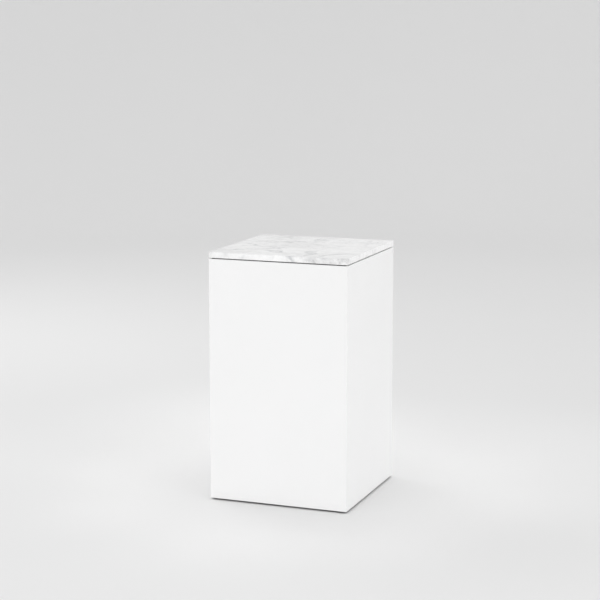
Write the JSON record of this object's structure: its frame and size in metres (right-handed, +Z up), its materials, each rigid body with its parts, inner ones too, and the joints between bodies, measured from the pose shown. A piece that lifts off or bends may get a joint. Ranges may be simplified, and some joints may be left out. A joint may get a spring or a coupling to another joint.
{
  "type": "display plinth",
  "caption": "square white lacquered display plinth with a loose marble slab over a dark shadow gap, standing on threaded levelling feet",
  "frame": {"origin": "on the floor, on the plinth's vertical centre line", "axes": "+X to the right, +Y to the back, +Z up; the front faces -Y"},
  "size_m": [0.5, 0.5, 0.87],
  "materials": {
    "marble": "polished white marble with faint grey veins",
    "white_lacquer": "MDF board sprayed in white satin lacquer",
    "black_strip": "matt black strip",
    "birch_plywood": "sanded birch plywood",
    "softwood": "planed softwood",
    "zinc_steel": "zinc-plated steel",
    "clear_silicone": "translucent silicone",
    "black_nylon": "moulded black nylon",
    "rubber_sole": "matt dark grey rubber"
  },
  "bodies": {
    "carcass": {"base_board": "birch_plywood", "base_rail_back": "softwood", "base_rail_front": "softwood", "base_rail_left": "softwood", "base_rail_right": "softwood", "base_screw_back": "zinc_steel", "base_screw_front": "zinc_steel", "base_screw_left": "zinc_steel", "base_screw_right": "zinc_steel", "corner_batten_back_left": "softwood", "corner_batten_back_right": "softwood", "corner_batten_front_left": "softwood", "corner_batten_front_right": "softwood", "deck_board": "birch_plywood", "deck_ledger_back": "softwood", "deck_ledger_front": "softwood", "deck_ledger_left": "softwood", "deck_ledger_right": "softwood", "deck_screw_back": "zinc_steel", "deck_screw_front": "zinc_steel", "deck_screw_left": "zinc_steel", "deck_screw_right": "zinc_steel", "insert_nut_back_left": "zinc_steel", "insert_nut_back_right": "zinc_steel", "insert_nut_front_left": "zinc_steel", "insert_nut_front_right": "zinc_steel", "locating_pin_back_right": "zinc_steel", "locating_pin_front_left": "zinc_steel", "mid_rail_back": "softwood", "mid_rail_front": "softwood", "mid_rail_left": "softwood", "mid_rail_right": "softwood", "panel_back": "white_lacquer", "panel_front": "white_lacquer", "panel_left": "white_lacquer", "panel_right": "white_lacquer", "shadow_strip_back": "black_strip", "shadow_strip_front": "black_strip", "shadow_strip_left": "black_strip", "shadow_strip_right": "black_strip", "slab_bumper_back_left": "clear_silicone", "slab_bumper_back_right": "clear_silicone", "slab_bumper_front_left": "clear_silicone", "slab_bumper_front_right": "clear_silicone"},
    "slab": {"marble_top": "marble"},
    "pad_front_left": {"foot_pad_front_left": "black_nylon", "foot_sole_front_left": "rubber_sole"},
    "stem_front_left": {"foot_stem_front_left": "zinc_steel"},
    "pad_front_right": {"foot_pad_front_right": "black_nylon", "foot_sole_front_right": "rubber_sole"},
    "stem_front_right": {"foot_stem_front_right": "zinc_steel"},
    "pad_back_right": {"foot_pad_back_right": "black_nylon", "foot_sole_back_right": "rubber_sole"},
    "stem_back_right": {"foot_stem_back_right": "zinc_steel"},
    "pad_back_left": {"foot_pad_back_left": "black_nylon", "foot_sole_back_left": "rubber_sole"},
    "stem_back_left": {"foot_stem_back_left": "zinc_steel"}
  },
  "joints": [
    {"name": "slab_lift", "type": "slide", "parent": "carcass", "child": "slab", "axis": [0, 0, 1], "range_m": [0, 0.15]},
    {"name": "foot_height_front_left", "type": "slide", "parent": "carcass", "child": "pad_front_left", "axis": [0, 0, -1], "range_m": [0, 0.015]},
    {"name": "foot_turn_front_left", "type": "hinge", "parent": "pad_front_left", "child": "stem_front_left", "pos_m": [-0.17, -0.17, 0.011], "axis": [0, 0, -1], "range_deg": [0, 4320]},
    {"name": "foot_height_front_right", "type": "slide", "parent": "carcass", "child": "pad_front_right", "axis": [0, 0, -1], "range_m": [0, 0.015]},
    {"name": "foot_turn_front_right", "type": "hinge", "parent": "pad_front_right", "child": "stem_front_right", "pos_m": [0.17, -0.17, 0.011], "axis": [0, 0, -1], "range_deg": [0, 4320]},
    {"name": "foot_height_back_right", "type": "slide", "parent": "carcass", "child": "pad_back_right", "axis": [0, 0, -1], "range_m": [0, 0.015]},
    {"name": "foot_turn_back_right", "type": "hinge", "parent": "pad_back_right", "child": "stem_back_right", "pos_m": [0.17, 0.17, 0.011], "axis": [0, 0, -1], "range_deg": [0, 4320]},
    {"name": "foot_height_back_left", "type": "slide", "parent": "carcass", "child": "pad_back_left", "axis": [0, 0, -1], "range_m": [0, 0.015]},
    {"name": "foot_turn_back_left", "type": "hinge", "parent": "pad_back_left", "child": "stem_back_left", "pos_m": [-0.17, 0.17, 0.011], "axis": [0, 0, -1], "range_deg": [0, 4320]}
  ],
  "couplings": [
    {"joint": "foot_turn_front_left", "follows": "foot_height_front_left", "rad_per_m": 5026.5},
    {"joint": "foot_turn_front_right", "follows": "foot_height_front_right", "rad_per_m": 5026.5},
    {"joint": "foot_turn_back_right", "follows": "foot_height_back_right", "rad_per_m": 5026.5},
    {"joint": "foot_turn_back_left", "follows": "foot_height_back_left", "rad_per_m": 5026.5}
  ]
}
